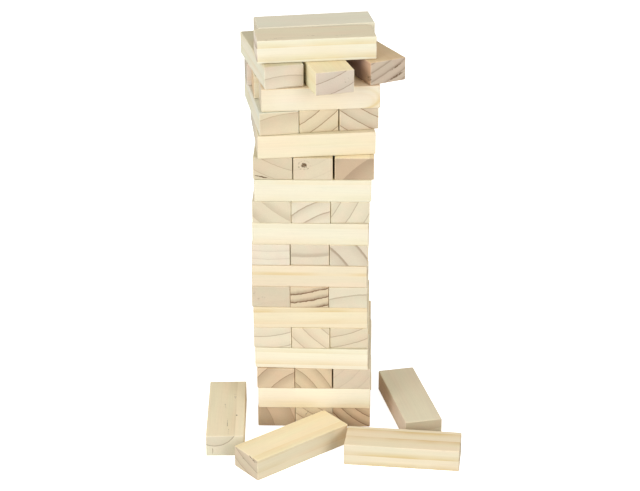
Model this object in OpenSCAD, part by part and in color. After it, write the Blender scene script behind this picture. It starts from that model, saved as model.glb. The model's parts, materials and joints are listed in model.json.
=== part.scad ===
// Stacking tower game of plain pine blocks, caught in the middle of play.
// Seventeen layers of three blocks stand on one another, each laid across the one below, with two blocks
// on top and four more lying loose on the table. Three inner blocks have been drawn out of the tower, and
// each leaves a gap right through its layer.
// Origin: the middle of the bottom layer, on the table. X points right, Y to the back and Z up, and the
// bottom layer is square to them.

/* [Block] */
// Length of a block, about three widths, so that every layer is square
block_length = 75; // [60:1:100]
// Width of a block
block_width = 25; // [20:0.5:32]
// Thickness of a block, which sets the height of a layer
block_thickness = 15; // [10:0.5:20]
// Flat sanded along each edge, measured on the faces
edge_ease = 0.5; // [0.2:0.1:2]

/* [Fit] */
// Space between neighbours in a layer
side_gap = 0.2; // [0.1:0.1:1]
// Air under each layer, which lets a block be pushed out
seat_gap = 0.05; // [0.02:0.01:0.3]
// How much thinner than the thickest the thinnest block is, which is why some come out easily
thickness_spread = 0.1; // [0:0.05:0.5]
// How far a block may stand out of its layer, lengthwise
stand_out = 0.4; // [0:0.1:2]

/* [Top of the tower] */
// How far the middle block of the last full layer is drawn out to the front
middle_draw = 19; // [0:1:30]
// Turn of that block past its left neighbour, in degrees
middle_turn = 2; // [1:0.5:8]
// How far the back corner of the middle block lies from the back end of the right block
right_slip = 7.5; // [2:0.5:20]
// Turn of the right block past the middle one, in degrees
right_turn = 11; // [5:0.5:25]
// Least space between the three blocks that are swung apart
fan_gap = 0.3; // [0.2:0.1:2]
// Space between the two blocks on top, at their left ends
top_split = 0.8; // [0.2:0.1:5]
// How far the back one of them lies to the right of the front one
top_slip = 3; // [-10:0.5:10]
// Turn of the back one past the front one, in degrees
top_turn = 2; // [0:0.5:10]

/* [Loose blocks] */
// From the bottom layer to the corner of the block that lies across its front
front_clearance = 3; // [1:0.5:15]
// How far right of the tower's middle that corner lies
front_corner = 7; // [-10:1:20]
// Turn of that block, in degrees
front_left_turn = 40.5; // [30:0.5:50]
// Step from it to the left end of the block beside it
front_step = 2; // [1:0.5:10]
// Turn of the block beside it, in degrees
front_right_turn = -5.5; // [-15:0.5:0]
// From the bottom layer to the loose block on its right
right_clearance = 5.5; // [2:0.5:20]
// Space between that block's front end and the block in front of it
right_step = 8; // [3:0.5:20]
// Turn of the block on the right, in degrees
loose_right_turn = 14; // [5:0.5:20]
// From the left end of the front block to the front end of the loose block on the left
left_step = 12.5; // [5:0.5:25]
// How far the right side of that loose block lies past that end
left_overlap = 5.5; // [0:0.5:10]
// Turn of the block on the left, in degrees
loose_left_turn = 2.5; // [0:0.5:8]

/* [Hidden] */
block_pitch = block_width + side_gap;
layer_pitch = block_thickness + seat_gap;
tower_half = max(block_length, block_width + 2 * block_pitch) / 2;
half_length = block_length / 2;
half_width = block_width / 2;

// The layers from the table up: shift to the right, shift to the back, and turn seen from above. The last
// two are the layer whose blocks are swung apart and the blocks on top.
layer_places = [
    [0, 0, 0],
    [0.5, -1.5, 0],
    [0.25, -2, -0.5],
    [-0.5, -2, -2],
    [-1.5, -1.5, -0.5],
    [-2, -1.5, 0],
    [-2.5, -2, 0],
    [-1.75, -2, -0.5],
    [-1.75, -1.5, -0.5],
    [-1.5, -2, -0.5],
    [-1.5, -2, 0.5],
    [-0.5, -2, 0.5],
    [0, -2, 0.5],
    [-1.75, 0, 7.5],
    [-3, 3, 11],
    [1, 3, 7],
    [-3, 6.5, 15.5],
    [-2.5, 8.5, 8.5]
];
top_layer = len(layer_places);
fan_layer = top_layer - 1;
full_layers = fan_layer - 1;
// Layers whose middle block has been drawn out
drawn_layers = [4, 8, 10];
// Blocks that have been eased away from the middle one of their layer, with how much more space is left
eased_blocks = [[13, "left", 0.4], [13, "right", 1.1], [15, "left", 0.1], [15, "right", 0.5]];
// Blocks that have been pushed along themselves, with how far
pushed_blocks = [[4, "back", -0.5], [16, "middle", -3.5], [16, "back", -6]];

// A layer with the blocks' long sides to the front has a front, a middle and a back block, and a layer with
// their ends to the front has a left, a middle and a right one. Each place has its offset in pitches.
lengthwise_places = [["front", -1], ["middle", 0], ["back", 1]];
crosswise_places = [["left", 1], ["middle", 0], ["right", -1]];
// The palest and the warmest of the blocks
pale_pine = [0.95, 0.89, 0.76];
warm_pine = [0.88, 0.77, 0.6];

function turned(v, angle) = [v.x * cos(angle) - v.y * sin(angle), v.x * sin(angle) + v.y * cos(angle)];
// Plan position of a block's own point, along and across its length. A place is [x, y, turn].
function point_on(place, own) = [place.x, place.y] + turned(own, place[2]);
// The place of a block that lies with its own point on the given point of the plan
function laid_with(own, point, turn) = [point.x - turned(own, turn).x, point.y - turned(own, turn).y, turn];
// A share from -1 to 1 that differs from block to block, for the small ways in which they aren't alike
function stray(number) = sin(number * 137.5);
function is_lengthwise(layer) = layer % 2 == 0;
function is_drawn(layer, spot) = spot == "middle" && len([for (d = drawn_layers) if (d == layer) d]) > 0;
// What a list gives for one block, or nothing
function listed(list, layer, spot) = [each [for (b = list) if (b[0] == layer && b[1] == spot[0]) b[2]], 0][0];
function two_digits(n) = str(n < 10 ? "0" : "", n);

// Place of a block in a layer: its offset across, and how far it is moved along itself
function in_layer(layer, across, along) =
    let (l = layer_places[layer - 1], turn = l[2] + (is_lengthwise(layer) ? 0 : 90))
    [each point_on([l.x, l.y, turn], [along, across]), turn];

// The bottom layer is flush, and in the others each block stands out a little or lies back a little.
function stands_out(layer, spot) = layer == 1 ? 0 : stand_out * stray(3 * layer + spot[1]);
function layer_place(layer, spot) =
    in_layer(layer,
        spot[1] * (block_pitch + listed(eased_blocks, layer, spot)),
        stands_out(layer, spot) + listed(pushed_blocks, layer, spot));

// The last three blocks of the tower's own are swung apart like a fan, each laid against its neighbour's corner.
fan_left = in_layer(fan_layer, block_pitch, 0);
fan_middle = laid_with([half_length, half_width],
    point_on(fan_left, [half_length - middle_draw, -half_width - fan_gap]),
    fan_left[2] + middle_turn);
fan_right = laid_with([half_length - right_slip, half_width + fan_gap],
    point_on(fan_middle, [half_length, -half_width]),
    fan_middle[2] + right_turn);
top_front = in_layer(top_layer, -block_pitch, 0);
top_back = laid_with([-half_length, -half_width],
    point_on(top_front, [top_slip - half_length, half_width + top_split]),
    top_front[2] + top_turn);

// The loose blocks are laid from corner to corner, starting at the front of the tower.
loose_front_left = laid_with([half_length, half_width],
    [front_corner, -tower_half - front_clearance],
    front_left_turn);
loose_front_right = laid_with([-half_length, half_width],
    point_on(loose_front_left, [half_length, -half_width]) - [0, front_step],
    front_right_turn);
loose_left = laid_with([-half_length, -half_width],
    point_on(loose_front_left, [-half_length, half_width]) + [left_overlap, left_step],
    90 + loose_left_turn);
loose_right = [
    tower_half + right_clearance - turned([half_length, half_width], 90 + loose_right_turn).x,
    point_on(loose_front_right, [0, half_width]).y + right_step
        - turned([-half_length, half_width], 90 + loose_right_turn).y,
    90 + loose_right_turn
];

// Every block: its name, its place in plan and its layer
stacked = [
    for (layer = [1 : full_layers])
        for (spot = is_lengthwise(layer) ? lengthwise_places : crosswise_places)
            if (!is_drawn(layer, spot[0]))
                [str("layer_", two_digits(layer), "_", spot[0]), layer_place(layer, spot), layer]
];
fanned = [
    ["layer_17_left", fan_left, fan_layer],
    ["layer_17_middle", fan_middle, fan_layer],
    ["layer_17_right", fan_right, fan_layer]
];
topmost = [
    ["top_front", top_front, top_layer],
    ["top_back", top_back, top_layer]
];
loose = [
    ["loose_left", loose_left, 1],
    ["loose_front_left", loose_front_left, 1],
    ["loose_front_right", loose_front_right, 1],
    ["loose_right", loose_right, 1]
];
blocks = concat(stacked, fanned, topmost, loose);

// Rectangle with its corners cut off at 45 degrees
module eased_rectangle(length, width) {
    x = length / 2;
    y = width / 2;
    e = edge_ease;
    polygon([
        [x - e, -y], [x, -y + e], [x, y - e], [x - e, y],
        [-x + e, y], [-x, y - e], [-x, -y + e], [-x + e, -y]
    ]);
}

// One block, lying along X on the plane Z = 0: its three outlines, each carried through the block,
// meet in a bar that is eased along all twelve edges.
module block(number) {
    thickness = block_thickness - thickness_spread * (1 + stray(number)) / 2;
    color(pale_pine + (warm_pine - pale_pine) * (1 + stray(3 * number)) / 2)
        translate([0, 0, thickness / 2])
            intersection() {
                linear_extrude(thickness, center = true)
                    eased_rectangle(block_length, block_width);
                rotate([90, 0, 0])
                    linear_extrude(block_width, center = true)
                        eased_rectangle(block_length, thickness);
                rotate([90, 0, 90])
                    linear_extrude(block_length, center = true)
                        eased_rectangle(block_width, thickness);
            }
}

// A block set down in its layer, at its place in plan
module set_down(place, layer) {
    translate([place.x, place.y, (layer - 1) * layer_pitch])
        rotate([0, 0, place[2]])
            children();
}

for (i = [0 : len(blocks) - 1])
    set_down(blocks[i][1], blocks[i][2]) block(i);
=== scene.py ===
"""Looks of a wooden block tower game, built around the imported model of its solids.

Each block is one closed surface: a box whose twelve edges are rounded over, with the shallow waves that
a planer leaves along it and the small dents of play. It carries its place in the log that it was sawn from,
so that one set of growth rings runs through all its faces: arcs on the ends, long bands on the sides.

Lengths are in millimetres, as a workshop gives them. They become metres where a surface goes into its mesh.
"""

from __future__ import annotations

import json
import logging
import math
from dataclasses import dataclass, field
from enum import Enum

import bpy
import numpy as np
from mathutils import Matrix, Vector

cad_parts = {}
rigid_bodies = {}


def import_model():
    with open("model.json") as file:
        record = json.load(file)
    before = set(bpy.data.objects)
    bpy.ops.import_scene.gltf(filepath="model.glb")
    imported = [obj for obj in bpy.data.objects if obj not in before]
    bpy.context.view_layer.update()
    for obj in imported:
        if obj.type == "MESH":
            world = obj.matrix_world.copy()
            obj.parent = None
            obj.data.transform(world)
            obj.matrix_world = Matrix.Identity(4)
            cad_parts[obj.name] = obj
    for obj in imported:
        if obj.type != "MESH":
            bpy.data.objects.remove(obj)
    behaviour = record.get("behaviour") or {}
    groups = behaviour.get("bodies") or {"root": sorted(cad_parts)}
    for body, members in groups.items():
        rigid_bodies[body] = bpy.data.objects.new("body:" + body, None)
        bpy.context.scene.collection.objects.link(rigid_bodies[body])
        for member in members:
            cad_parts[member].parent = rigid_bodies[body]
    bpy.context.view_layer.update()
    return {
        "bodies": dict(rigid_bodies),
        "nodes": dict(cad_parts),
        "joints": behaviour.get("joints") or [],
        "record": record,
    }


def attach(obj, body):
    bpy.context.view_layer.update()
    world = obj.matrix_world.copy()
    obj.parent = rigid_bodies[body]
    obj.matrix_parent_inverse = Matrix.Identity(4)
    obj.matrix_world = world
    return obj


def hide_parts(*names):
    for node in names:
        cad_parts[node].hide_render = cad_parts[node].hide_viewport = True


Triple = tuple[float, float, float]
Socket = bpy.types.NodeSocket
Feed = Socket | float | tuple | None
Outputs = dict[str, Socket]

LOG = logging.getLogger("block_tower")
MM = 0.001
ORIGIN = (0.0, 0.0, 0.0)
NOISE_MIDDLE = 0.5
WHITE = (1.0, 1.0, 1.0, 1.0)


def paint(red: int, green: int, blue: int) -> Triple:
    """Turn a colour as a screen shows it into the linear one that light works with.

    Args:
        red: Share of red, 0 to 255.
        green: Share of green, 0 to 255.
        blue: Share of blue, 0 to 255.

    Returns:
        The linear colour. Each share s of 1 becomes ((s + 0.055) / 1.055) ^ 2.4, or s / 12.92 near black.
    """
    shares = np.array([red, green, blue]) / 255
    linear = np.where(shares > 0.04045, ((shares + 0.055) / 1.055) ** 2.4, shares / 12.92)
    return tuple(float(x) for x in linear)


def set_out(name: str, data: bpy.types.ID) -> bpy.types.Object:
    """Put an object into the scene.

    Args:
        name: Its name.
        data: Its mesh, light or camera.

    Returns:
        The object.
    """
    made = bpy.data.objects.new(name, data)
    bpy.context.scene.collection.objects.link(made)
    return made


class Graph:
    """A node tree while it is being wired."""

    def __init__(self, tree: bpy.types.NodeTree) -> None:
        """Start on an empty tree."""
        self.tree = tree
        tree.nodes.clear()

    @classmethod
    def of_material(cls, made: bpy.types.Material) -> tuple[Graph, bpy.types.Node]:
        """Start on a material.

        Args:
            made: The material.

        Returns:
            Its tree, and in it the shader that makes the surface.
        """
        made.use_nodes = True
        graph = cls(made.node_tree)
        shader = graph.node("ShaderNodeBsdfPrincipled")
        graph.node("ShaderNodeOutputMaterial", shader.outputs[0])
        return graph, shader

    def node(self, kind: str, *values: Feed, **settings: object) -> bpy.types.Node:
        """Add a node.

        Args:
            kind: Blender's name for the node's type.
            values: What its inputs get, in their order.
            settings: Properties to set on it.

        Returns:
            The new node.
        """
        made = self.tree.nodes.new(kind)
        for name, value in settings.items():
            setattr(made, name, value)
        for socket, value in zip(made.inputs, values):
            self.feed(socket, value)
        return made

    def feed(self, socket: Socket, value: Feed) -> None:
        """Give an input its value, or link it to another node's output.

        Args:
            socket: The input.
            value: Its value or the output. None leaves it as it is.
        """
        if isinstance(value, bpy.types.NodeSocket):
            self.tree.links.new(value, socket)
        elif value is not None:
            socket.default_value = value

    def math(self, operation: str, *values: Feed) -> Socket:
        """Work out a number from up to three others by an operation such as MULTIPLY."""
        return self.node("ShaderNodeMath", *values, operation=operation).outputs[0]

    def total(self, start: float, *terms: tuple[Socket, float]) -> Feed:
        """Add numbers to a first one.

        Args:
            start: The first one.
            terms: The others, each with the weight by which it counts.

        Returns:
            The output that holds the sum.
        """
        result: Feed = start
        for value, weight in terms:
            result = self.math("MULTIPLY_ADD", value, weight, result)
        return result

    def vector(self, operation: str, first: Feed, second: Feed = None, scale: Feed = None) -> Socket:
        """Work out a vector, or for LENGTH a number, from others by an operation such as ADD."""
        made = self.node("ShaderNodeVectorMath", first, second, None, scale, operation=operation)
        return made.outputs["Value" if operation == "LENGTH" else "Vector"]

    def smooth(self, value: Feed, *levels: Feed) -> Socket:
        """Ease a number from one level to another: the share t of the way becomes t * t * (3 - 2 * t).

        Args:
            value: The number.
            levels: Where the rise starts and ends, and then, unless they are 0 and 1, its two levels.

        Returns:
            The output that holds the eased number.
        """
        return self.node("ShaderNodeMapRange", value, *levels, interpolation_type="SMOOTHSTEP").outputs[0]

    def noise(self, place: Feed, stretch: Triple, detail: float = 2.0, rough: float = 0.5) -> Socket:
        """Cloudy noise in space.

        Args:
            place: Where it is read.
            stretch: How fast it changes along each axis, per millimetre.
            detail: Number of finer layers laid over it.
            rough: How much the finer layers count.

        Returns:
            The noise, about 0.5 on average.
        """
        spread = self.vector("MULTIPLY", place, stretch)
        return self.node("ShaderNodeTexNoise", spread, None, 1.0, detail, rough).outputs["Fac"]

    def blend(self, share: Feed, first: Feed, second: Feed) -> Socket:
        """Mix two colours.

        Args:
            share: How much of the second there is, 0 to 1.
            first: Colour at share 0.
            second: Colour at share 1.

        Returns:
            The output that holds the mixed colour.
        """
        made = self.node("ShaderNodeMix", share, data_type="RGBA")
        for name, value in (("A", first), ("B", second)):
            socket = next(s for s in made.inputs if s.name == name and s.type == "RGBA")
            self.feed(socket, (*value, 1.0) if isinstance(value, tuple) else value)
        return next(s for s in made.outputs if s.type == "RGBA")

    def level(self, share: Feed, first: Feed, second: Feed) -> Socket:
        """Mix two numbers, with share 0 for the first and 1 for the second."""
        return self.node("ShaderNodeMix", share, None, first, second, data_type="FLOAT").outputs[0]

    def parts(self, vector: Socket) -> bpy.types.NodeOutputs:
        """Take a vector apart into its three numbers."""
        return self.node("ShaderNodeSeparateXYZ", vector).outputs

    def attribute(self, name: str, output: str = "Vector") -> Socket:
        """Read an attribute that a mesh carries."""
        return self.node("ShaderNodeAttribute", attribute_name=name).outputs[output]


class EffectGroup:
    """A shader effect as a node group with named inputs and outputs, built once for all materials.

    Where an effect reads noise, a triple says how fast that changes across, up and along the log.
    """

    title = "effect"
    takes: tuple[tuple[str, float | Triple], ...] = ()
    gives: tuple[str, ...] = ()

    def __init__(self) -> None:
        """Make the group and its sockets, and wire it."""
        self.tree = bpy.data.node_groups.new(self.title, "ShaderNodeTree")
        for name, value in self.takes:
            kind = "NodeSocketVector" if isinstance(value, tuple) else "NodeSocketFloat"
            socket = self.tree.interface.new_socket(name, in_out="INPUT", socket_type=kind)
            socket.default_value = value
        for name in self.gives:
            self.tree.interface.new_socket(name, in_out="OUTPUT", socket_type="NodeSocketFloat")
        graph = Graph(self.tree)
        source = graph.node("NodeGroupInput")
        target = graph.node("NodeGroupOutput")
        for name, socket in self.wire(graph, source.outputs).items():
            graph.feed(target.inputs[name], socket)

    def wire(self, graph: Graph, given: bpy.types.NodeOutputs) -> Outputs:
        """Wire the effect.

        Args:
            graph: The group's tree.
            given: The group's inputs, by name.

        Returns:
            What each output shows.
        """
        raise NotImplementedError

    def place(self, graph: Graph, **values: Feed) -> Outputs:
        """Put the effect into a material.

        Args:
            graph: The material's tree.
            values: Inputs by name, with _ for a space.

        Returns:
            The outputs by name.
        """
        made = graph.node("ShaderNodeGroup", node_tree=self.tree)
        for name, value in values.items():
            graph.feed(made.inputs[name.replace("_", " ")], value)
        return {name: made.outputs[name] for name in self.gives}


class GrowthRings(EffectGroup):
    """Growth rings round the pith: a year starts pale, darkens towards its end and turns pale at once."""

    title = "growth rings"
    takes = (
        ("Log Place", ORIGIN),
        ("Ring Width", 7.0),
        ("Phase", 0.0),
        ("Line Width", 0.8),
        ("Wander", 1.0),
    )
    gives = ("Line", "Autumn", "Year Tone")

    sway = (0.05, 0.05, 0.012)
    shiver = (0.4, 0.4, 0.03)
    shiver_share = 0.5
    # How far before the end of the year the dark line is darkest, and where it pales, as shares of its width
    line_peak = 0.45
    line_fall = 0.2
    # Share of the year after which its slow darkening starts
    autumn = 0.35

    def wire(self, graph: Graph, given: bpy.types.NodeOutputs) -> Outputs:
        """Count rings from the pith: the distance from it, moved a little by noise, over the ring width.

        Args:
            graph: The group's tree.
            given: The group's inputs, by name.

        Returns:
            What each output shows.
        """
        place = given["Log Place"]
        sway = graph.math("SUBTRACT", graph.noise(place, self.sway, detail=1.0), NOISE_MIDDLE)
        shiver = graph.math("SUBTRACT", graph.noise(place, self.shiver), NOISE_MIDDLE)
        drift = graph.math("ADD", sway, graph.math("MULTIPLY", shiver, self.shiver_share))
        drift = graph.math("MULTIPLY", drift, given["Wander"])
        across = graph.vector("LENGTH", graph.vector("MULTIPLY", place, (1.0, 1.0, 0.0)))
        count = graph.math("DIVIDE", graph.math("ADD", across, drift), given["Ring Width"])
        count = graph.math("ADD", count, given["Phase"])
        share = graph.math("FRACT", count)
        dice = graph.node("ShaderNodeTexWhiteNoise", noise_dimensions="1D")
        graph.feed(dice.inputs["W"], graph.math("FLOOR", count))
        line = graph.math("DIVIDE", given["Line Width"], given["Ring Width"])
        start = graph.math("SUBTRACT", 1.0, line)
        peak = graph.total(1.0, (line, -self.line_peak))
        edge = graph.total(1.0, (line, -self.line_fall))
        fall = graph.smooth(share, edge, 1.0, 1.0, 0.0)
        thin = graph.math("MULTIPLY", graph.smooth(share, start, peak), fall)
        broad = graph.math("MULTIPLY", graph.smooth(share, self.autumn, edge), fall)
        return {"Line": thin, "Autumn": broad, "Year Tone": dice.outputs["Value"]}


class Fibres(EffectGroup):
    """What runs along the grain: streaks, pores, clouds of brightness and hue, and how bands fade."""

    title = "fibres"
    takes = (("Log Place", ORIGIN),)
    gives = ("Streak", "Pore", "Cloud", "Blush", "Fade")

    streak = (1.3, 1.3, 0.03)
    pore = (3.2, 3.2, 0.22)
    cloud = (0.09, 0.09, 0.02)
    blush = (0.12, 0.12, 0.018)
    fade = (0.06, 0.06, 0.03)
    # Shift for hue and fading, so that they don't follow the clouds
    elsewhere = (90.0, 40.0, 70.0)
    # Levels between which most of the noise lies, and those at which a pore starts and is deepest
    usual = (0.3, 0.7)
    rare = (0.66, 0.76)
    # How dark the bands are where they fade most, and where least
    faded = (0.4, 1.5)

    def wire(self, graph: Graph, given: bpy.types.NodeOutputs) -> Outputs:
        """Read noise that is drawn out along the grain: lines on the sides and dots on the ends.

        Args:
            graph: The group's tree.
            given: The group's inputs, by name.

        Returns:
            What each output shows.
        """
        place = given["Log Place"]
        streak = graph.noise(place, self.streak, detail=3.0, rough=0.6)
        pore = graph.noise(place, self.pore, detail=1.0)
        cloud = graph.noise(place, self.cloud)
        elsewhere = graph.vector("ADD", place, self.elsewhere)
        blush = graph.noise(elsewhere, self.blush, detail=1.0)
        fade = graph.noise(elsewhere, self.fade, detail=1.0)
        return {
            "Streak": graph.smooth(streak, *self.usual),
            "Pore": graph.smooth(pore, *self.rare),
            "Cloud": cloud,
            "Blush": graph.smooth(blush, *self.usual),
            "Fade": graph.smooth(fade, *self.usual, *self.faded),
        }


class Wear(EffectGroup):
    """Edges rubbed by hands and the table, glossy and with a painted highlight, and where a knot or a stain
    breaks up.
    """

    title = "wear"
    takes = (("Log Place", ORIGIN), ("Edge", 0.0), ("Mark", 0.0))
    gives = ("Burnish And Highlight", "Stain")

    patch = (0.5, 0.5, 0.3)
    fleck = (0.9, 0.9, 0.9)
    # How strongly the flecks eat into a mark
    tearing = 2.2
    # Levels at which each mask starts to show, and shows in full
    rubbed = (0.3, 0.6)
    stained = (0.3, 1.0)
    marked = (0.05, 0.5)

    def wire(self, graph: Graph, given: bpy.types.NodeOutputs) -> Outputs:
        """Break the masks up with noise: each shows more where the noise is high.

        Args:
            graph: The group's tree.
            given: The group's inputs, by name.

        Returns:
            What each output shows.
        """
        place, mark = given["Log Place"], given["Mark"]
        patch = graph.noise(place, self.patch, detail=3.0)
        fleck = graph.noise(place, self.fleck, detail=4.0, rough=0.7)
        # Rubbed edges: this mask makes them glossier, and in the finish it also lightens them as a painted
        # highlight
        burnish_and_highlight = graph.math("MULTIPLY", given["Edge"], graph.smooth(patch, *self.rubbed))
        torn = graph.math("MULTIPLY", graph.math("SUBTRACT", fleck, NOISE_MIDDLE), self.tearing)
        torn = graph.math("ADD", mark, torn)
        stain = graph.math("MULTIPLY", graph.smooth(torn, *self.stained), graph.smooth(mark, *self.marked))
        return {"Burnish And Highlight": burnish_and_highlight, "Stain": stain}


@dataclass(frozen=True)
class Effects:
    """The effects that every finish uses."""

    rings: GrowthRings
    fibres: Fibres
    wear: Wear


@dataclass(frozen=True)
class PineFinish:
    """Bare sanded pine of one kind. Colours are as they look in white light."""

    slot: str
    early: Triple
    late: Triple
    end_early: Triple
    end_late: Triple
    knot: Triple = paint(102, 78, 52)
    rosy: Triple = (1.02, 0.985, 0.97)
    sallow: Triple = (0.99, 1.005, 0.985)

    year_spread: float = 0.05
    # How much lighter the palest year is than the darkest, as a share. The next are the shares by which     clouds vary the wood, streaks and pores darken it, and a painted highlight lightens the rubbed edges.
    """How much lighter the palest year is than the darkest, as a share. The next are the shares by which
    clouds vary the wood, streaks and pores darken it, and rubbed edges lighten it."""
    cloud_spread: float = 0.1
    streak_dark: float = 0.04
    pore_dark: float = 0.06
    edge_highlight: float = 0.1

    dullness: float = 0.62
    """Roughness of a side. The next say how far streaks and ends are above it, and rubbed edges below."""
    streak_dull: float = 0.08
    end_dull: float = 0.12
    edge_gloss: float = 0.1

    relief: float = 0.00005
    """Metres by which a height of 1 stands out. Dark lines are raised, and streaks and pores sunk."""
    relief_strength: float = 0.5
    line_height: float = 0.6
    streak_depth: float = 0.5
    pore_depth: float = 0.8

    def material(self, effects: Effects) -> bpy.types.Material:
        """Mix the finish.

        Args:
            effects: The shared effects.

        Returns:
            A material that reads from the mesh how the block lay in its log and how its wood looks.
        """
        made = bpy.data.materials.new(self.slot)
        graph, shader = Graph.of_material(made)
        place = graph.attribute("log_place")
        width, phase, line = graph.parts(graph.attribute("ring_plan"))
        strength, softness, wander = graph.parts(graph.attribute("ring_look"))
        masks = ("end_grain", "edge", "mark", "swirl")
        end, edge, mark, swirl = (graph.attribute(name, "Fac") for name in masks)
        look = effects.rings.place(
            graph, Log_Place=place, Ring_Width=width, Phase=phase, Line_Width=line, Wander=wander
        )
        look |= effects.fibres.place(graph, Log_Place=place)
        look |= effects.wear.place(graph, Log_Place=place, Edge=edge, Mark=mark)
        bands = graph.math("ADD", graph.level(softness, look["Line"], look["Autumn"]), swirl)
        dark = graph.math("MULTIPLY", bands, strength)
        dark = graph.math("MULTIPLY", dark, graph.level(end, look["Fade"], 1.0))
        side_colour = graph.blend(dark, self.early, self.late)
        end_colour = graph.blend(dark, self.end_early, self.end_late)
        colour = graph.blend(end, side_colour, end_colour)
        # The wood's tone, with painted shade and painted light on single faces
        colour = graph.vector("MULTIPLY", colour, graph.attribute("tone_and_painted_light"))
        colour = graph.vector("MULTIPLY", colour, graph.blend(look["Blush"], self.sallow, self.rosy))
        colour = graph.vector("SCALE", colour, scale=self.brightness(graph, look))
        graph.feed(shader.inputs["Base Color"], graph.blend(look["Stain"], colour, self.knot))
        rough = graph.total(
            self.dullness,
            (look["Streak"], self.streak_dull),
            (end, self.end_dull),
            (look["Burnish And Highlight"], -self.edge_gloss),
        )
        graph.feed(shader.inputs["Roughness"], rough)
        height = graph.total(
            0.0,
            (look["Streak"], -self.streak_depth),
            (look["Line"], self.line_height),
            (look["Pore"], -self.pore_depth),
        )
        bump = graph.node("ShaderNodeBump")
        bump.inputs["Strength"].default_value = self.relief_strength
        bump.inputs["Distance"].default_value = self.relief
        graph.feed(bump.inputs["Height"], height)
        graph.feed(shader.inputs["Normal"], bump.outputs[0])
        return made

    def brightness(self, graph: Graph, look: Outputs) -> Feed:
        """Lighten or darken the wood by year, by cloud and by fibre, and lighten the rubbed edges with a
        painted highlight.

        Args:
            graph: The material's tree.
            look: What the effects give.

        Returns:
            The factor for the colour: the product of start + slope * value over all five.
        """
        product: Feed = 1.0
        for start, value, slope in (
            (1 - self.year_spread / 2, "Year Tone", self.year_spread),
            (1 - self.cloud_spread / 2, "Cloud", self.cloud_spread),
            (1.0, "Streak", -self.streak_dark),
            (1.0, "Pore", -self.pore_dark),
            # Painted highlight on the rubbed edges
            (1.0, "Burnish And Highlight", self.edge_highlight),
        ):
            product = graph.math("MULTIPLY", product, graph.total(start, (look[value], slope)))
        return product


FINISHES = tuple(
    PineFinish(slot, *(paint(*colour) for colour in colours))
    for slot, *colours in (
        ("pale_pine", (229, 220, 194), (219, 199, 150), (216, 203, 176), (146, 118, 88)),
        ("honey_pine", (233, 221, 188), (219, 196, 142), (214, 200, 170), (142, 114, 84)),
        ("rosy_pine", (217, 193, 160), (192, 158, 118), (208, 184, 152), (124, 94, 68)),
        ("grey_pine", (229, 217, 190), (208, 190, 154), (208, 198, 174), (142, 122, 98)),
    )
)


@dataclass(frozen=True)
class Surface:
    """A block's closed surface in its own directions: along, to the right and up from its middle."""

    points: np.ndarray
    outward: np.ndarray
    """Direction out of the surface at each point."""
    faces: np.ndarray
    half_size: np.ndarray
    """Half of the three sizes of its solid."""

    def on_face(self, axis: int, sign: float) -> np.ndarray:
        """Tell points on one face from others.

        Args:
            axis: The axis along which the face looks.
            sign: 1 if it looks the way that the axis points, and -1 if it looks back.

        Returns:
            1 for points on the face. On its rounded edges the share falls in step with how much of the
            direction out of the surface still points the same way, to 0 where it has turned by 68 degrees.
        """
        fall = 1.6
        return np.clip(fall * sign * self.outward[:, axis] - (fall - 1), 0, 1)

    def end(self) -> np.ndarray:
        """Give 1 for each point on the ends of the block, and 0 on its sides."""
        return self.on_face(0, 1.0) + self.on_face(0, -1.0)

    def edge(self) -> np.ndarray:
        """Give 1 for each point on the middle of a rounded edge, falling to 0 on the flat faces."""
        middle, flat = 0.72, 0.99
        return 1 - np.clip((np.abs(self.outward).max(axis=1) - middle) / (flat - middle), 0, 1)


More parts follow.
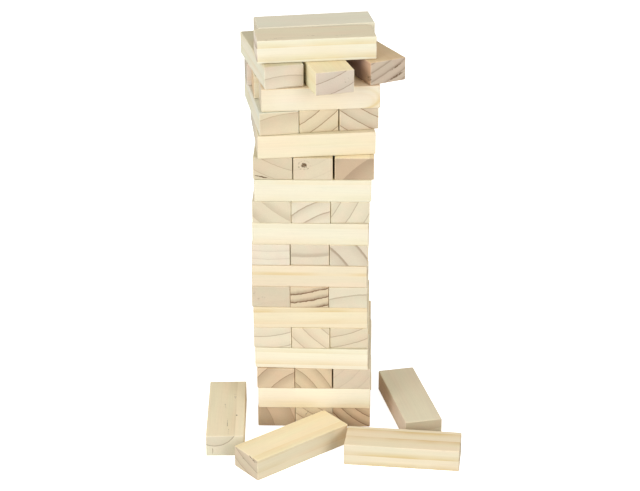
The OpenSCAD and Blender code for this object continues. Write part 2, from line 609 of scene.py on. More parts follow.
@dataclass(frozen=True)
class Cut:
    """How a block lay in its log, seen along it from its front end, or its left one if it lies across.

    The pith, the middle of the tree, is a point in that view, and the rings run round it.
    """

    pith_angle: float = 90.0
    """Direction of the pith from the block's middle in degrees, 0 to the right and 90 up."""
    pith_distance: float = 60.0
    ring_width: float = 7.0
    dark_line: float = 0.0
    """How far towards the pith the end of a year crosses the line from the middle to the pith."""
    strength: float = 0.6
    """How dark the rings are on the ends."""
    softness: float = 0.3
    """How much of that is a slow darkening over the year, and not the thin line at its end."""
    line_width: float = 0.8
    wander: float = 1.2
    """How far the rings stray from true circles."""
    side_share: float = 1.0
    """How dark they are on the sides, as a share of that on the ends."""
    side_softness: float = 0.75
    lean_right: float = 0.0
    """How far the pith moves to the right for each millimetre along the block."""
    lean_up: float = 0.0
    log_stretch: float = 400.0
    """How far along the log one block's stretch of it lies from the next one's."""

    @classmethod
    def drawn(cls, chance: np.random.Generator) -> Cut:
        """Draw a cut by lot, for a block of which the photograph shows nothing.

        Args:
            chance: What the numbers are drawn from, in the order given here.

        Returns:
            The cut.
        """
        return cls(
            pith_angle=chance.uniform(0, 360),
            pith_distance=chance.uniform(25, 90),
            ring_width=chance.uniform(5, 10),
            dark_line=chance.uniform(-4, 4),
            strength=chance.uniform(0.35, 0.8),
            softness=chance.uniform(0.2, 0.6),
            lean_right=chance.uniform(-0.05, 0.05),
            lean_up=chance.uniform(-0.05, 0.05),
        )

    def log_place(self, surface: Surface, number: int) -> np.ndarray:
        """Find the points' places in the log.

        Args:
            surface: The block's surface.
            number: The block's number. Each block comes from another stretch of the log.

        Returns:
            Each point across and up from the pith, which leans as it runs along, and along the log.
        """
        along, right, up = surface.points.T
        angle = math.radians(self.pith_angle)
        across = right - self.pith_distance * math.cos(angle) - self.lean_right * along
        above = up - self.pith_distance * math.sin(angle) - self.lean_up * along
        return np.column_stack([across, above, along + self.log_stretch * number])

    def plan(self) -> Triple:
        """Give the ring width, the share of a year that sets the dark line, and the line width."""
        phase = -(self.pith_distance - self.dark_line) / self.ring_width % 1.0
        return self.ring_width, phase, self.line_width

    def look(self, end: np.ndarray) -> np.ndarray:
        """Give how dark, how soft and how wandering the rings are.

        Args:
            end: For each point, 1 on the ends of the block and 0 on its sides.

        Returns:
            The three numbers for each point.
        """
        strength = self.strength * (self.side_share + (1 - self.side_share) * end)
        softness = self.side_softness + (self.softness - self.side_softness) * end
        return np.column_stack([strength, softness, np.full(len(end), self.wander)])


@dataclass(frozen=True)
class Shade:
    """How far a colour is from its finish's, as the wood's tone and, on single faces, also as painted shade
    and light: brighter, redder and bluer, each as a share.
    """

    bright: float = 0.0
    red: float = 0.0
    blue: float = 0.0

    def factors(self) -> np.ndarray:
        """Give what the finish's red, green and blue are multiplied by."""
        return (1 + self.bright) * np.array([1 + self.red, 1.0, 1 + self.blue])


class Face(Enum):
    """One long face of a block: the axis that it looks along, which way, and where on the block it starts.

    The near end is at -37.5 mm. A face that starts past it stands for the rest of the side from there on.
    """

    LEFT = (1, -1.0, -math.inf)
    RIGHT = (1, 1.0, -math.inf)
    TOP = (2, 1.0, -math.inf)
    # The next two are used for painted shade and painted light: a left side darker deep in a gap, a right
    # side lighter near its far end
    DEEP_LEFT = (1, -1.0, -35.0)
    FAR_RIGHT = (1, 1.0, 24.0)

    def share(self, surface: Surface) -> np.ndarray:
        """Tell points on this face from others.

        Args:
            surface: The block's surface.

        Returns:
            1 for points on this face, less on its rounded edges, and 0 elsewhere. It rises over the first
            12 mm from the start.
        """
        axis, sign, start = self.value
        rise = 12.0
        return surface.on_face(axis, sign) * np.clip((surface.points[:, 0] - start) / rise, 0, 1)


class MarkKind(Enum):
    """What kind of flaw a mark is."""

    STAIN = "stain"
    LOOP = "loop"
    CRACK = "crack"
    STREAK = "streak"
    SWIRL = "swirl"


@dataclass(frozen=True)
class Mark:
    """A flaw in the wood.

    Its place is measured to the right and up, on the near end of a block. A streak lies on the top instead,
    measured along the block and to the right, and a swirl goes right through from side to side, measured
    along and up.
    """

    kind: MarkKind
    across: float
    up: float
    half_width: float
    half_height: float
    turn: float = 0.0
    strength: float = 1.0
    depth: float = 5.0

    def mask(self, surface: Surface) -> np.ndarray:
        """Work out how strongly the mark shows.

        Args:
            surface: The block's surface.

        Returns:
            For each point the strength times a share from 0 to 1. With r the distance from the middle of
            the mark in half widths and half heights, a stain is exp(-r^4), a loop is
            exp(-((r - 1) / breadth)^2), a crack or a streak is a stain that tapers, and a swirl is the
            right half of a loop half as broad. All but the swirl fade with the depth below their face.
        """
        least_taper, breadth, opening, opened = 0.04, 0.2, -0.3, 0.2
        along, right, height = surface.points.T
        x, y, below = {
            MarkKind.STREAK: (along, right, surface.half_size[2] - height),
            MarkKind.SWIRL: (along, height, 0.0),
        }.get(self.kind, (right, height, along + surface.half_size[0]))
        angle = math.radians(self.turn)
        x, y = x - self.across, y - self.up
        a = (x * math.cos(angle) + y * math.sin(angle)) / self.half_width
        b = (-x * math.sin(angle) + y * math.cos(angle)) / self.half_height
        if self.kind in (MarkKind.CRACK, MarkKind.STREAK):
            b = b / np.sqrt(np.clip(1 - a**2, least_taper, 1))
        r = np.hypot(a, b)
        if self.kind is MarkKind.SWIRL:
            half = np.clip((a - opening) / (opened - opening), 0, 1)
            shown = np.exp(-(((r - 1) / (breadth / 2)) ** 2)) * half
        elif self.kind is MarkKind.LOOP:
            shown = np.exp(-(((r - 1) / breadth) ** 2))
        else:
            shown = np.exp(-(r**4))
        return self.strength * shown * np.exp(-((below / self.depth) ** 2))


def marks(*rows: tuple[MarkKind | float, ...]) -> tuple[Mark, ...]:
    """Make marks from rows of kind, place, half sizes, and where they count turn, strength and depth."""
    return tuple(Mark(*row) for row in rows)


@dataclass(frozen=True)
class Wood:
    """The wood of one block."""

    cut: Cut = Cut()
    sides: Shade = Shade()
    ends: Shade = Shade()
    faces: tuple[tuple[Face, Shade], ...] = ()
    # Single faces whose colour is set apart from the other sides, and how: many are painted shade or painted
    # light, for a face that lies in shade or in light, and the rest are the wood's own tone.
    """Single faces that are unlike the other sides, and how."""
    marks: tuple[Mark, ...] = ()
    worn_left: float = 0.0
    """How much the left side is worn back from the solid, where a wide dark seam shows."""
    worn_right: float = 0.0

    @classmethod
    def drawn(cls, number: int) -> Wood:
        """Draw the wood of a block by lot.

        Args:
            number: The block's number, which seeds the draw.

        Returns:
            The wood, of one shade all over.
        """
        chance = np.random.default_rng(number)
        cut = Cut.drawn(chance)
        shade = Shade(
            bright=chance.uniform(-0.08, 0.06),
            red=chance.uniform(-0.02, 0.03),
            blue=chance.uniform(-0.08, 0.06),
        )
        return cls(cut, shade, shade)

    def tone_and_painted_light(self, surface: Surface) -> np.ndarray:
        """Give what the finish's colour is multiplied by: the wood's tone, with the painted shade and
        painted light of single faces.

        Args:
            surface: The block's surface.

        Returns:
            Three factors for each point.
        """
        sides, ends = self.sides.factors(), self.ends.factors()
        tone_and_painted_light = sides + surface.end()[:, None] * (ends - sides)
        for face, shade in self.faces:
            tone_and_painted_light *= 1 + face.share(surface)[:, None] * (shade.factors() - 1)
        return tone_and_painted_light


@dataclass(frozen=True)
class Station:
    """Where a block lies and how large its solid is."""

    centre: np.ndarray
    axes: np.ndarray
    """The block's own directions in the frame, one a row: along, to the right and up."""
    half_size: np.ndarray

    @classmethod
    def of_node(cls, solid: bpy.types.Object) -> Station:
        """Measure a block's solid.

        Args:
            solid: The CAD node, with its place in its mesh.

        Returns:
            Its station. The long axis is the direction in plan in which its corners spread most, pointed to
            the back or, where the block lies across, to the right.
        """
        corners = np.array([v.co for v in solid.data.vertices]) / MM
        corners = np.unique(corners.round(3), axis=0)
        centre = (corners.min(axis=0) + corners.max(axis=0)) / 2
        plan = corners[:, :2] - centre[:2]
        along = np.append(np.linalg.eigh(plan.T @ plan)[1][:, 1], 0.0)
        along *= np.sign(along[np.argmax(np.abs(along))])
        up = np.array([0.0, 0.0, 1.0])
        axes = np.stack([along, np.cross(along, up), up])
        return cls(centre, axes, np.abs((corners - centre) @ axes.T).max(axis=0))

    def to_frame(self, own: np.ndarray) -> np.ndarray:
        """Turn points along, right and up from the block's middle into points of the frame, in metres."""
        return (self.centre + own @ self.axes) * MM


@dataclass
class Block:
    """One block: its shape, its wood and what has happened to it."""

    name: str
    number: int
    wood: Wood
    edge_round: float = 0.7
    round_steps: int = 4
    cell: float = 1.25
    fine_cell: float = 0.5
    """Size of the lattice's cells on a block with marks, which are drawn with its points."""
    skin: float = 0.01
    """How far the surface lies inside the solid."""

    seed: int = 1000
    """Where the numbers of the blocks' draws start. Each pair below is the least and the most drawn."""
    wave_depth: float = 0.03
    wave_pitch: tuple[float, float] = (5.0, 9.0)
    wave_slant: float = 0.35
    dents: int = 5
    dent_place: tuple[float, float] = (0.1, 1.0)
    dent_reach: tuple[float, float] = (0.5, 1.4)
    dent_depth: tuple[float, float] = (0.05, 0.22)

    def stops(self, half: float) -> np.ndarray:
        """Share out the lattice lines along one axis.

        Args:
            half: Half of the box's size along it.

        Returns:
            Places from -half to half: even cells between the rounded edges, and in each edge the places
            radius * tan(t) for even steps of t up to 45 degrees, which become even steps round the arc.
        """
        radius = self.edge_round
        flat = half - radius
        cell = self.fine_cell if self.wood.marks else self.cell
        inner = np.linspace(-flat, flat, max(2, round(2 * flat / cell) + 1))
        arc = flat + radius * np.tan(np.linspace(0, math.pi / 4, self.round_steps + 1)[1:])
        return np.concatenate([-arc[::-1], inner, arc])

    def lattice(self, half_size: np.ndarray) -> tuple[np.ndarray, np.ndarray]:
        """Lay a lattice over the six faces of the box.

        Args:
            half_size: Half of the box's three sizes.

        Returns:
            The points on the box, each once, and the four-sided faces between them, which point outwards.
        """
        lines = [self.stops(half) for half in half_size]
        counts = np.array([len(line) for line in lines])
        quads = []
        for axis in range(3):
            first, second = (axis + 1) % 3, (axis + 2) % 3
            i, j = np.meshgrid(np.arange(counts[first] - 1), np.arange(counts[second] - 1), indexing="ij")
            for side in (0, 1):
                corners = []
                for di, dj in ((0, 0), (1, 0), (1, 1), (0, 1)):
                    index = np.zeros((*i.shape, 3), int)
                    index[..., axis] = side * (counts[axis] - 1)
                    index[..., first] = i + di
                    index[..., second] = j + dj
                    corners.append(np.ravel_multi_index(np.moveaxis(index, -1, 0), counts).ravel())
                quads.append(np.stack(corners if side else corners[::-1], axis=1))
        used, faces = np.unique(np.concatenate(quads), return_inverse=True)
        where = np.unravel_index(used, counts)
        points = np.column_stack([line[index] for line, index in zip(lines, where)])
        return points, faces.reshape(-1, 4)

    def rounded(self, points: np.ndarray, half_size: np.ndarray) -> tuple[np.ndarray, np.ndarray]:
        """Round the box's edges over.

        Args:
            points: Points on the box.
            half_size: Half of its three sizes.

        Returns:
            The points, and the direction out of the surface at each. A point is held back to the box that
            is one radius smaller, and set one radius out from there, along the line to where it was.
        """
        core = np.clip(points, -(half_size - self.edge_round), half_size - self.edge_round)
        out = points - core
        out /= np.linalg.norm(out, axis=1, keepdims=True)
        return core + self.edge_round * out, out

    def worn(self, points: np.ndarray, out: np.ndarray, half_size: np.ndarray) -> np.ndarray:
        """Press planer waves and dents into the surface, always inwards.

        Args:
            points: Points on the rounded block.
            out: Direction out of the surface at each.
            half_size: Half of the block's three sizes.

        Returns:
            The points moved in by depth * (1 - cos(2 pi along / pitch + slant)) / 2, and by a hollow of the
            form depth * exp(-(d / reach)^2) at each of a few places on the edges.
        """
        chance = np.random.default_rng(self.seed + self.number)
        pitch = chance.uniform(*self.wave_pitch)
        slant = self.wave_slant * points[:, 1] + chance.uniform(0, 2 * math.pi)
        depth = self.wave_depth * (1 - np.cos(2 * math.pi * points[:, 0] / pitch + slant)) / 2
        for _ in range(self.dents):
            middle = half_size * chance.choice([-1.0, 1.0], 3)
            middle[chance.integers(0, 3)] *= chance.uniform(*self.dent_place)
            reach = chance.uniform(*self.dent_reach)
            distance = np.linalg.norm(points - middle, axis=1)
            depth += chance.uniform(*self.dent_depth) * np.exp(-((distance / reach) ** 2))
        return points - out * depth[:, None]

    def surface(self, station: Station) -> Surface:
        """Shape the block.

        Args:
            station: Where its solid lies and how large it is.

        Returns:
            The surface: the solid's box, with the worn sides drawn in, rounded and worn.
        """
        left, right = self.wood.worn_left, self.wood.worn_right
        half_size = station.half_size - self.skin - np.array([0.0, (left + right) / 2, 0.0])
        box, faces = self.lattice(half_size)
        smooth, outward = self.rounded(box, half_size)
        shift = np.array([0.0, (left - right) / 2, 0.0])
        return Surface(self.worn(smooth, outward, half_size) + shift, outward, faces, station.half_size)

    def build(self, station: Station, finish: bpy.types.Material) -> bpy.types.Object:
        """Make the block as a finished piece.

        Args:
            station: Where its solid lies and how large it is.
            finish: Its material.

        Returns:
            The new object.
        """
        surface = self.surface(station)
        mesh = bpy.data.meshes.new(self.name)
        mesh.from_pydata(station.to_frame(surface.points).tolist(), [], surface.faces.tolist())
        mesh.polygons.foreach_set("use_smooth", np.ones(len(surface.faces), bool))
        self.dress(mesh, surface)
        mesh.materials.append(finish)
        mesh.update()
        return set_out(self.name + "_wood", mesh)

    def dress(self, mesh: bpy.types.Mesh, surface: Surface) -> None:
        """Give the mesh what its finish reads: the place in the log, the rings, the colour with the painted
        shade and light of single faces, and the flaws.

        Args:
            mesh: The block's mesh.
            surface: The surface it was made from.
        """
        wood, count, end = self.wood, len(surface.points), surface.end()
        mark, swirl = np.zeros(count), np.zeros(count)
        for flaw in wood.marks:
            shown = swirl if flaw.kind is MarkKind.SWIRL else mark
            np.maximum(shown, flaw.mask(surface), out=shown)
        for name, values in {
            "log_place": wood.cut.log_place(surface, self.number),
            "ring_plan": np.tile(wood.cut.plan(), (count, 1)),
            "ring_look": wood.cut.look(end),
            "tone_and_painted_light": wood.tone_and_painted_light(surface),
            "end_grain": end,
            "edge": surface.edge(),
            "mark": mark,
            "swirl": swirl,
        }.items():
            kind, key = ("FLOAT", "value") if values.ndim == 1 else ("FLOAT_VECTOR", "vector")
            kept = mesh.attributes.new(name, kind, "POINT")
            kept.data.foreach_set(key, values.astype(np.float32).ravel())


@dataclass(frozen=True)
class Workshop:
    """What all sub-assemblies work from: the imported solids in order, their slots and the finishes."""

    solids: dict[str, bpy.types.Object]
    slots: dict[str, str]
    finishes: dict[str, bpy.types.Material]

    @classmethod
    def open(cls, frame: dict) -> Workshop:
        """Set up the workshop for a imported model.

        Args:
            frame: What the frame was loaded as.

        Returns:
            The workshop, with one material for each finish.
        """
        effects = Effects(GrowthRings(), Fibres(), Wear())
        finishes = {finish.slot: finish.material(effects) for finish in FINISHES}
        slots = {row["node"]: row["material_slot"] for row in frame["record"]["subparts"]}
        return cls(dict(sorted(frame["nodes"].items())), slots, finishes)

    def make(self, node: str, wood: Wood | None) -> None:
        """Make one block, in the place of its solid.

        Args:
            node: Name of the solid.
            wood: Its wood, or nothing if that is drawn by lot.
        """
        number = list(self.solids).index(node)
        slot = self.slots[node]
        block = Block(node, number, wood or Wood.drawn(number))
        piece = block.build(Station.of_node(self.solids[node]), self.finishes[slot])
        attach(piece, node)
        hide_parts(node)
        LOG.info("%s: %d faces, %s", piece.name, len(piece.data.polygons), slot)


class SubAssembly:
    """Blocks that belong together. A field is the wood of the block named by the prefix and the field."""

    prefix = ""

    def woods(self) -> dict[str, Wood]:
        """Give the wood of each block that the photograph shows, by the block's name."""
        return {self.prefix + name: wood for name, wood in vars(self).items()}

    def nodes(self, workshop: Workshop) -> list[str]:
        """List the names of all blocks, also those that are hidden."""
        return [node for node in workshop.solids if node in self.woods()]

    def build(self, workshop: Workshop) -> None:
        """Make all its blocks.

        Args:
            workshop: What they are made from.
        """
        woods = self.woods()
        for node in self.nodes(workshop):
            workshop.make(node, woods.get(node))


# Short names for the rows of marks
STAIN, LOOP, CRACK, STREAK, SWIRL = MarkKind


@dataclass
class FannedLayer(SubAssembly):
    """The seventeenth layer, whose three blocks are swung apart."""

    prefix = "layer_17_"

    left: Wood = Wood(
        Cut(-88, 60, 7.6, -1.3, 0.5, 0.3),
        Shade(-0.015, -0.035, 0.04),
        Shade(-0.04, 0.0, 0.06),
        # Painted shade: the top darkened beside the top pair, which shades it
        faces=((Face.TOP, Shade(-0.15, 0.02, -0.06)),),
    )
    middle: Wood = Wood(
        Cut(111, 80, 9, 3.0, 0.65, 0.2, side_share=0.3),
        Shade(0.04, -0.02, -0.12),
        Shade(-0.12, 0.01, 0.16),
        # The LEFT entry is painted shade: the left side a little darker where it lies in shade; the TOP
        # entry is the wood's tone
        faces=((Face.LEFT, Shade(-0.05, -0.01, 0.08)), (Face.TOP, Shade(-0.04, 0.05, 0.04))),
        marks=marks(
            (LOOP, 7.6, 1.0, 1.6, 1.6, 0, 0.6),
            (CRACK, 2.0, 4.6, 4.0, 0.5, 24, 0.35),
            (CRACK, -6.0, -3.0, 4.0, 0.5, 30, 0.3),
        ),
    )
    right: Wood = Wood(
        Cut(117, 110, 5.4, -0.6, 0.45, 0.35, line_width=1.6, wander=1.0, side_share=0.3),
        ends=Shade(-0.12, -0.06, 0.16),
        # Painted shade: the left side darker, and deep in the gap beside the middle block much darker and
        # greyer, where the middle block and the top pair shade it; the TOP entry is the wood's tone
        faces=(
            (Face.LEFT, Shade(-0.19, 0.15, 0.04)),
            (Face.DEEP_LEFT, Shade(-0.56, 0.03, 0.34)),
            (Face.TOP, Shade(-0.05, 0.03, -0.1)),
        ),
        marks=marks(
            (CRACK, 6.4, 2.7, 6.4, 0.7, 28, 0.9),
            (CRACK, 6.0, -3.8, 7.0, 0.8, 24, 0.95),
            (CRACK, -6.0, -4.2, 5.0, 0.5, 30, 0.4),
            (STAIN, -12.5, -3.0, 1.0, 2.6, 0, 0.6, 9.0),
        ),
    )


@dataclass
class TopPair(SubAssembly):
    """The two blocks on top."""

    prefix = "top_"

    front: Wood = Wood(
        Cut(96, 60, 8.2, -0.1, 0.7, 0.85),
        Shade(0.03, -0.04, 0.04),
        Shade(0.1, -0.02, 0.12),
        faces=((Face.TOP, Shade(-0.11, 0.1, -0.1)),),
        marks=marks(
            (STREAK, -24.0, 8.2, 7.0, 0.6, -2, 0.55),
            (STREAK, -30.0, 11.0, 5.0, 0.6, 0, 0.55),
            (STREAK, -2.0, 5.5, 12.0, 0.5, 2, 0.5),
            (STREAK, 16.0, 7.5, 9.0, 0.6, -2, 0.5),
        ),
    )
    back: Wood = Wood(Cut(90, 70, 9, 2.0, 0.25, 0.6), Shade(0.03, -0.055, 0.05))


@dataclass
class LooseBlocks(SubAssembly):
    """The four blocks that lie on the table."""

    prefix = "loose_"

    left: Wood = Wood(
        Cut(113, 17, 14, 1.4, 0.8, 0.15, side_share=0.4),
        Shade(0.095, 0.005, -0.05),
        Shade(0.1, -0.03, 0.02),
        marks=marks(
            (CRACK, -8.2, -3.4, 2.8, 0.5, 86, 0.8),
            (STREAK, -19.5, 1.2, 8.0, 0.4, -1, 0.8),
            (STREAK, -31.0, 2.2, 6.0, 0.5, 2, 0.6),
            (STREAK, 2.6, -0.7, 5.4, 0.5, -8, 0.5),
            (STREAK, -10.0, 7.1, 1.8, 0.8, 0, 0.75),
            (STREAK, 16.4, 5.4, 4.6, 1.2, -3, 0.45),
        ),
    )
    front_left: Wood = Wood(
        Cut(69, 74, 7.4, 1.6, 0.6, 0.3, side_share=0.5),
        Shade(0.13, 0.02, -0.04),
        Shade(-0.09, 0.02, 0.04),
        # Painted shade and light: the right side darker than the top where it is less lit, and lighter again
        # near its far end, against the shade of the block beside it
        faces=((Face.RIGHT, Shade(-0.23, 0.0, 0.06)), (Face.FAR_RIGHT, Shade(0.22, 0.04, -0.02))),
        marks=marks(
            (CRACK, 7.6, 6.1, 4.8, 0.45, -17),
            (CRACK, -2.6, 2.4, 3.8, 0.4, -18, 0.6),
        ),
    )
    front_right: Wood = Wood(
        Cut(54, 60, 6.8, -0.6, 0.95, 0.9),
        Shade(-0.01, 0.035, 0.01),
        # Painted shade: the right side a little darker than the top where it is less lit
        faces=((Face.RIGHT, Shade(-0.08, -0.04, 0.05)),),
    )
    right: Wood = Wood(
        Cut(90, 60, 10, 0.0, 0.25, 0.6),
        Shade(-0.01, 0.0, -0.02),
        Shade(-0.16, 0.05, -0.08),
        # Painted shade: the left side, which faces the tower, darker and more purple where it lies in the
        # tower's shade
        faces=((Face.LEFT, Shade(-0.09, 0.08, 0.08)),),
    )


CRACKED = marks((CRACK, -6.8, -5.6, 6.0, 0.6, -12))
FLECKED = marks(
    (STAIN, -10.6, 2.4, 1.0, 2.6, 0, 0.45),
    (STAIN, -8.0, -1.4, 1.6, 1.0, 0, 0.4),
    (CRACK, -4.0, -0.6, 7.0, 0.6, -16, 0.4),
)
KNOTTED = marks(
    (STAIN, -5.6, 2.6, 2.2, 1.8, 0, 1.1),
    (LOOP, -5.6, 2.6, 3.6, 3.0, 0, 0.5),
)
SWIRLED = marks(
    (SWIRL, 22.5, -0.7, 14.2, 7.4, 0, 2.4),
    (SWIRL, 22.5, -2.5, 11.0, 5.5, 0, 0.9),
)
SPLIT = marks((CRACK, -5.0, 2.5, 3.6, 0.45, 60, 0.7))
QUIET = Cut(90, 80, 9, 2.0, 0.3, 0.5)

END_WOODS = {
    1: (
        Wood(Cut(200, 60, 14, 3.0, 0.42, 0.6), ends=Shade(-0.09, 0.0, 0.03)),
        Wood(Cut(60, 50, 6, 1.0, 0.7, 0.3), ends=Shade(0.01, 0.05, -0.06), marks=SPLIT),
        Wood(Cut(52, 50, 6.5, 0.0, 1.0, 0.4), ends=Shade(-0.055, 0.045, -0.055)),
    ),
    3: (
        Wood(Cut(-49, 45, 11.9, 2.3, 0.7, 0.5), ends=Shade(0.09, -0.03, 0.05)),
        Wood(Cut(221, 45, 8.5, 2.1, 0.6, 0.5), ends=Shade(0.08, -0.05, 0.01), worn_right=0.3),
        Wood(Cut(135, 60, 8, 0.0, 0.2, 0.3), ends=Shade(-0.04, 0.06, 0.01), worn_left=0.4),
    ),
    5: (
        Wood(Cut(98, 80, 8.7, 1.0, 0.6, 0.2), ends=Shade(0.09, -0.03, 0.05)),
        Wood(Cut(46, 80, 9, 0.8, 0.55, 0.3), ends=Shade(0.08, 0.0, 0.05)),
        Wood(Cut(107, 80, 7.7, 3.2, 0.6, 0.2), ends=Shade(0.01, -0.01, 0.05)),
    ),
    7: (
        Wood(Cut(-80, 60, 16, 3.0, 0.12, 0.8), ends=Shade(-0.045, 0.04, -0.02), marks=FLECKED),
        Wood(
            Cut(100, 90, 5.7, -2.9, 1.2, 0.5, line_width=1.2, wander=3.0),
            ends=Shade(0.12, -0.08, 0.05),
        ),
        Wood(Cut(-82, 110, 12, -1.8, 0.5, 0.2, line_width=1.3), ends=Shade(0.02, -0.04, 0.04)),
    ),
    9: (
        Wood(Cut(90, 120, 5.5, 2.2, 0.25, 0.3), ends=Shade(0.09, -0.03, 0.1), worn_right=0.15),
        Wood(Cut(92, 90, 13, -2.0, 0.42, 0.35, line_width=3.8), ends=Shade(0.03, 0.02, 0.02)),
        Wood(
            Cut(220, 60, 13.2, 3.9, 0.62, 0.25, line_width=2.2),
            ends=Shade(-0.03, -0.03, 0.11),
            worn_left=0.15,
        ),
    ),
    11: (
        Wood(Cut(51, 70, 11.2, 1.3, 0.35, 0.8), ends=Shade(-0.03, -0.02, 0.01)),
        Wood(Cut(-62, 60, 8.7, 3.2, 0.65, 0.35, line_width=1.2), ends=Shade(0.065, -0.04, 0.1)),
        Wood(Cut(151, 90, 9.8, -1.4, 0.55, 0.2), ends=Shade(0.02, -0.03, 0.03)),
    ),
    13: (
        Wood(
            Cut(66, 70, 9, 2.5, 0.4, 0.2),
            ends=Shade(-0.12, 0.02, -0.02),
            # Painted shade: the top darkened where layer 14 shades it
            faces=((Face.TOP, Shade(-0.15, 0.03, -0.08)),),
            marks=CRACKED,
        ),
        Wood(
            Cut(110, 60, 8, 2.0, 0.1, 0.2),
            Shade(0.1, -0.08, -0.02),
            Shade(0.15, -0.11, 0.1),
            marks=KNOTTED,
        ),
        Wood(Cut(-49, 80, 18, -0.2, 0.32, 1.0), Shade(0.5, -0.1, 0.02), Shade(-0.18, 0.0, 0.01)),
    ),
    15: (
        Wood(Cut(-80, 60, 20, -6.1, 0.5, 0.5), Shade(0.0, -0.06, 0.08), Shade(-0.045, 0.02, -0.04)),
        Wood(Cut(127, 80, 8.0, -3.1, 0.9, 0.2), ends=Shade(-0.04, 0.02, -0.03)),
        Wood(Cut(58, 150, 8.2, -2.0, 0.9, 0.25), ends=Shade(-0.1, 0.02, 0.0)),
    ),
}
FRONT_WOODS = {
    2: Wood(Cut(90, 90, 17, -8.4, 0.65, 0.8, lean_up=0.01), Shade(0.14, -0.035, 0.13)),
    4: Wood(Cut(90, 90, 8.8, -5.4, 0.5, 0.8), Shade(0.07, -0.05, 0.12)),
    6: Wood(Cut(92, 60, 8.2, -6.0, 0.65, 0.8, lean_up=0.02), Shade(-0.06, 0.02, 0.02)),
    8: Wood(
        Cut(90, 60, 16, -0.9, 0.6, 0.6, line_width=3.4, wander=0.8, side_softness=0.1),
        Shade(-0.09, 0.065, -0.03),
    ),
    10: Wood(Cut(90, 80, 11, 2.9, 0.3, 0.8), Shade(-0.005, -0.01, 0.03)),
    12: Wood(Cut(90, 80, 11, -7.4, 0.25, 0.8), Shade(0.01, -0.03, 0.03)),
    14: Wood(Cut(90, 80, 10, 9.0, 0.12, 0.5), Shade(-0.03, 0.03, -0.05)),
    16: Wood(
        Cut(0, 40, 8, 3.0, 0.3, 0.6),
        Shade(-0.03, 0.01, 0.05),
        faces=((Face.TOP, Shade(0.0, 0.12, -0.08)),),
        marks=SWIRLED,
    ),
}
HIDDEN_WOODS = {
    "layer_16_middle": Wood(QUIET, ends=Shade(-0.16, 0.18, -0.19)),
    # Painted shade: the back block's sides greyed and ends darkened, as they look in the shade under layer
    # 17
    "layer_16_back": Wood(
        Cut(60, 80, 9, 2.0, 0.3, 0.5), Shade(-0.06, 0.0, 0.25), Shade(-0.24, -0.02, 0.1)
    ),
    "layer_14_middle": Wood(QUIET, ends=Shade(0.0, -0.04, 0.1)),
    "layer_14_back": Wood(QUIET, ends=Shade(-0.1, -0.04, 0.16)),
    "layer_04_back": Wood(QUIET, Shade(0.1, -0.08, -0.04), Shade(0.1, -0.1, 0.0)),
}


@dataclass
class StraightLayers(SubAssembly):
    """The sixteen layers that stand one on another. Odd ones show three ends, even ones one long side."""

    count: int = 16
    ends: dict[int, tuple[Wood, Wood, Wood]] = field(default_factory=lambda: END_WOODS)
    fronts: dict[int, Wood] = field(default_factory=lambda: FRONT_WOODS)
    others: dict[str, Wood] = field(default_factory=lambda: HIDDEN_WOODS)

    def titles(self) -> list[str]:
        """Give what the names of each layer's blocks start with, from the table up."""
        return [f"layer_{layer:02d}_" for layer in range(1, self.count + 1)]

    def woods(self) -> dict[str, Wood]:
        """Give the wood of the blocks that show.

        Returns:
            The wood of each layer's ends or front, and of the other blocks of which a part shows.
        """
        shown = dict(self.others)
        for layer, title in enumerate(self.titles(), start=1):
            if layer in self.ends:
                shown.update(zip((title + "left", title + "middle", title + "right"), self.ends[layer]))
            else:
                shown[title + "front"] = self.fronts[layer]
        return shown

    def nodes(self, workshop: Workshop) -> list[str]:
        """List the blocks of all straight layers."""
        return [node for node in workshop.solids if node.startswith(tuple(self.titles()))]


@dataclass(frozen=True)
class Lamp:
    """A softbox: where it hangs, how large and how strong it is. Metres and watts."""

    name: str
    place: Triple
    size: float
    power: float

    def hang(self, target: Vector) -> None:
        """Hang the lamp and point it.

        Args:
            target: What it lights.
        """
        light = bpy.data.lights.new(self.name, "AREA")
        light.shape = "DISK"
        light.size = self.size
        light.energy = self.power
        lamp = set_out(self.name, light)
        lamp.location = self.place
        lamp.rotation_euler = (target - Vector(self.place)).to_track_quat("-Z", "Y").to_euler()


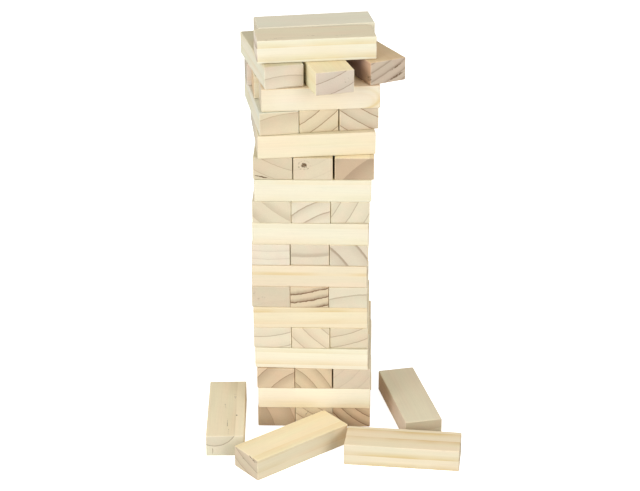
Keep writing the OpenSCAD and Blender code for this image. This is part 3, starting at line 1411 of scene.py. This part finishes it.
@dataclass(frozen=True)
class Studio:
    """The camera, the lamps and the floor. Metres and degrees, and millimetres for the sensor."""

    camera_place: Triple = (0.0390, -1.1277, 0.6282)
    heading: float = -1.81
    """Turn of the line of sight in plan, from +Y to +X."""
    pitch: float = 24.368
    """How far it looks down."""
    roll: float = -0.256
    focal_pixels: float = 1855.4
    image_width: int = 640
    sensor: float = 36.0

    aim: Triple = (0.0, 0.0, 0.12)
    daylight: float = 0.5
    lamps: tuple[Lamp, ...] = (
        Lamp("front_left_box", (-1.4, -1.8, 1.0), 1.2, 21.3),
        Lamp("front_right_box", (1.4, -1.8, 1.0), 1.2, 21.6),
        Lamp("left_box", (-2.1, -0.3, 1.0), 1.2, 6.6),
        Lamp("top_box", (0.0, 0.2, 2.2), 1.4, 6.8),
    )

    floor_paint: Triple = (0.93, 0.93, 0.93)
    floor_roughness: float = 0.9
    floor_glow: float = 0.8
    floor_reach: float = 6.0
    floor_corners: int = 96

    def camera(self) -> None:
        """Set up the camera: turned to its heading and its pitch, and rolled about its line of sight."""
        heading, pitch, roll = (math.radians(a) for a in (self.heading, self.pitch, self.roll))
        turn = Matrix.Rotation(-heading, 4, "Z") @ Matrix.Rotation(math.pi / 2 - pitch, 4, "X")
        turn = turn @ Matrix.Rotation(roll, 4, "Z")
        lens = bpy.data.cameras.new("camera")
        lens.sensor_width = self.sensor
        lens.lens = self.sensor * self.focal_pixels / self.image_width
        made = set_out("camera", lens)
        made.matrix_world = Matrix.Translation(self.camera_place) @ turn
        bpy.context.scene.camera = made

    def floor(self) -> None:
        """Lay the table: a flat white disc on the plane of the lowest blocks, a little lit from below."""
        turns = np.linspace(0, 2 * math.pi, self.floor_corners, endpoint=False)
        rim = self.floor_reach * np.column_stack([np.cos(turns), np.sin(turns), np.zeros(len(turns))])
        mesh = bpy.data.meshes.new("floor")
        mesh.from_pydata(rim.tolist(), [], [list(range(len(turns)))])
        finish = bpy.data.materials.new("floor_white")
        graph, shader = Graph.of_material(finish)
        shader.inputs["Base Color"].default_value = (*self.floor_paint, 1.0)
        shader.inputs["Roughness"].default_value = self.floor_roughness
        shader.inputs["Emission Color"].default_value = WHITE
        sight = graph.node("ShaderNodeLightPath")
        glow = graph.math("MULTIPLY", sight.outputs["Is Camera Ray"], self.floor_glow)
        graph.feed(shader.inputs["Emission Strength"], glow)
        mesh.materials.append(finish)
        set_out("floor", mesh)

    def light(self) -> None:
        """Hang the lamps and fill the room with even white light."""
        world = bpy.data.worlds.new("room")
        world.use_nodes = True
        sky = next(n for n in world.node_tree.nodes if n.type == "BACKGROUND")
        sky.inputs["Color"].default_value = WHITE
        sky.inputs["Strength"].default_value = self.daylight
        bpy.context.scene.world = world
        for lamp in self.lamps:
            lamp.hang(Vector(self.aim))

    def build(self) -> None:
        """Set up the whole studio."""
        bpy.context.scene.view_settings.view_transform = "Standard"
        self.camera()
        self.floor()
        self.light()


def main() -> None:
    """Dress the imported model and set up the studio."""
    logging.basicConfig(level=logging.INFO, format="%(message)s")
    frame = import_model()
    Studio().build()
    workshop = Workshop.open(frame)
    for part in (FannedLayer(), TopPair(), LooseBlocks(), StraightLayers()):
        part.build(workshop)


if __name__ == "__main__":
    main()
